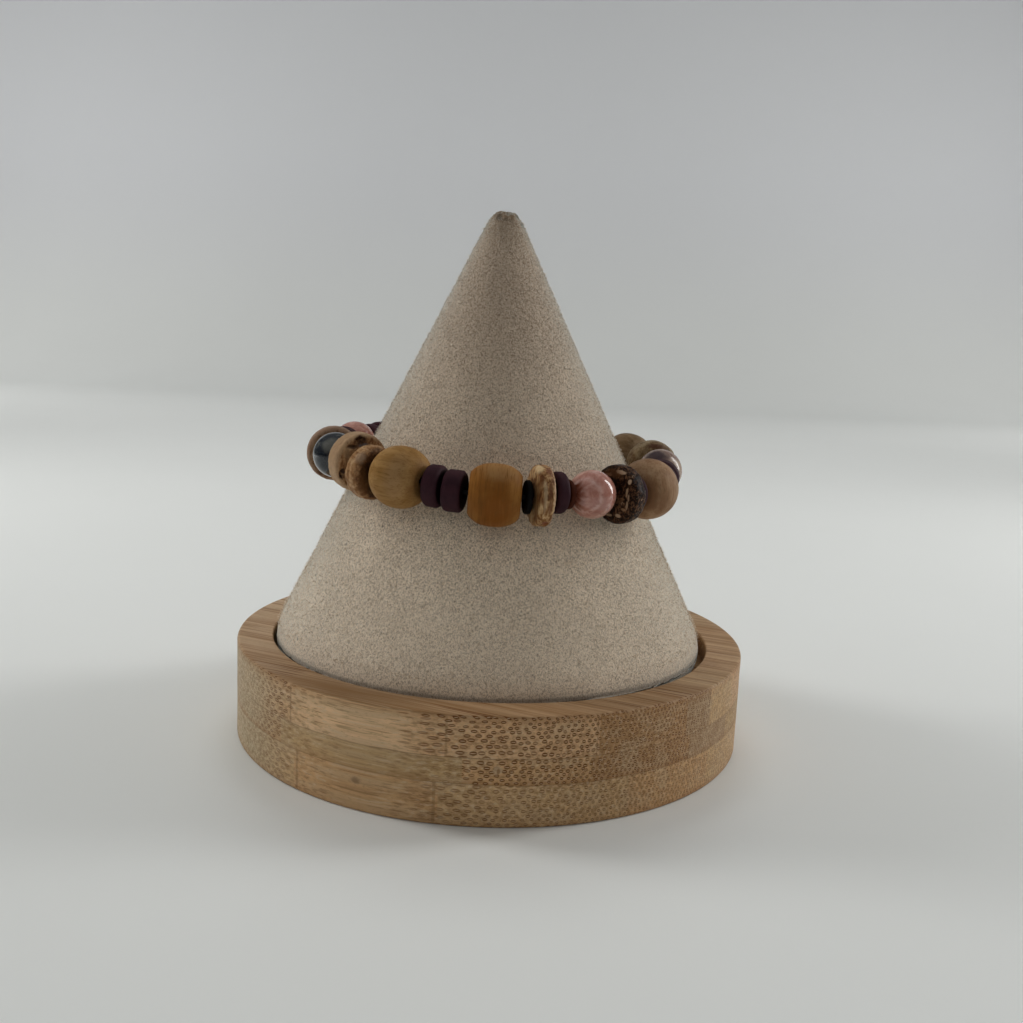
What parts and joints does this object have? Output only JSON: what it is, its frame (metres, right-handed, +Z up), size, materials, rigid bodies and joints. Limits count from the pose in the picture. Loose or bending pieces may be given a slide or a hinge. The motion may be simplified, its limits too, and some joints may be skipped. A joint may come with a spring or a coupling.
{
  "type": "beaded stretch bracelet on a cone stand",
  "caption": "Stretch bracelet of wood beads, polished stones and thin discs on an elastic cord, resting on a blunt suede display cone that stands in a round bamboo base.",
  "frame": {"origin": "middle of the base's flat underside, on the surface that it stands on", "axes": "+Z up along the cone, -Y towards the side of the bracelet that is seen first, +X to its right"},
  "size_m": [0.093, 0.093, 0.0943],
  "materials": {
    "bamboo": "satin lacquered laminated bamboo with dark fibre dots",
    "suede": "matt short-nap beige micro-suede, worn dark at the tip",
    "cord": "dark round elastic",
    "bead_wood": "turned wood, fine grain, satin polish",
    "plum_disc": "dyed disc, dark plum, matt",
    "pink_stone": "polished pink stone with pale swirls",
    "dark_stone": "polished dark stone, blue and black mottled",
    "mauve_stone": "polished purplish brown stone",
    "nut": "cut nut shell, mottled, satin",
    "shell": "cut shell disc, cream and brown streaks, satin",
    "spacer": "thin dark spacer disc"
  },
  "bodies": {
    "root": {"bamboo_base": "bamboo", "suede_cone": "suede", "elastic_cord": "cord", "wood_bead_1": "bead_wood", "spacer_disc_1": "spacer", "shell_disc_1": "shell", "plum_disc_1": "plum_disc", "spacer_disc_2": "spacer", "pink_bead_1": "pink_stone", "nut_disc_1": "nut", "plum_disc_2": "plum_disc", "wood_bead_2": "bead_wood", "plum_disc_3": "plum_disc", "plum_disc_4": "plum_disc", "mauve_bead_1": "mauve_stone", "nut_disc_2": "nut", "plum_disc_5": "plum_disc", "wood_bead_3": "bead_wood", "plum_disc_6": "plum_disc", "pink_bead_2": "pink_stone", "nut_disc_3": "nut", "plum_disc_7": "plum_disc", "wood_bead_4": "bead_wood", "dark_bead_1": "dark_stone", "nut_disc_4": "nut", "wood_bead_5": "bead_wood", "plum_disc_8": "plum_disc", "plum_disc_9": "plum_disc", "pink_bead_3": "pink_stone", "plum_disc_10": "plum_disc", "plum_disc_11": "plum_disc", "plum_disc_12": "plum_disc", "nut_disc_5": "nut", "dark_bead_2": "dark_stone", "plum_disc_13": "plum_disc", "nut_disc_6": "nut", "nut_disc_7": "nut", "wood_bead_6": "bead_wood", "plum_disc_14": "plum_disc", "plum_disc_15": "plum_disc"}
  },
  "joints": []
}
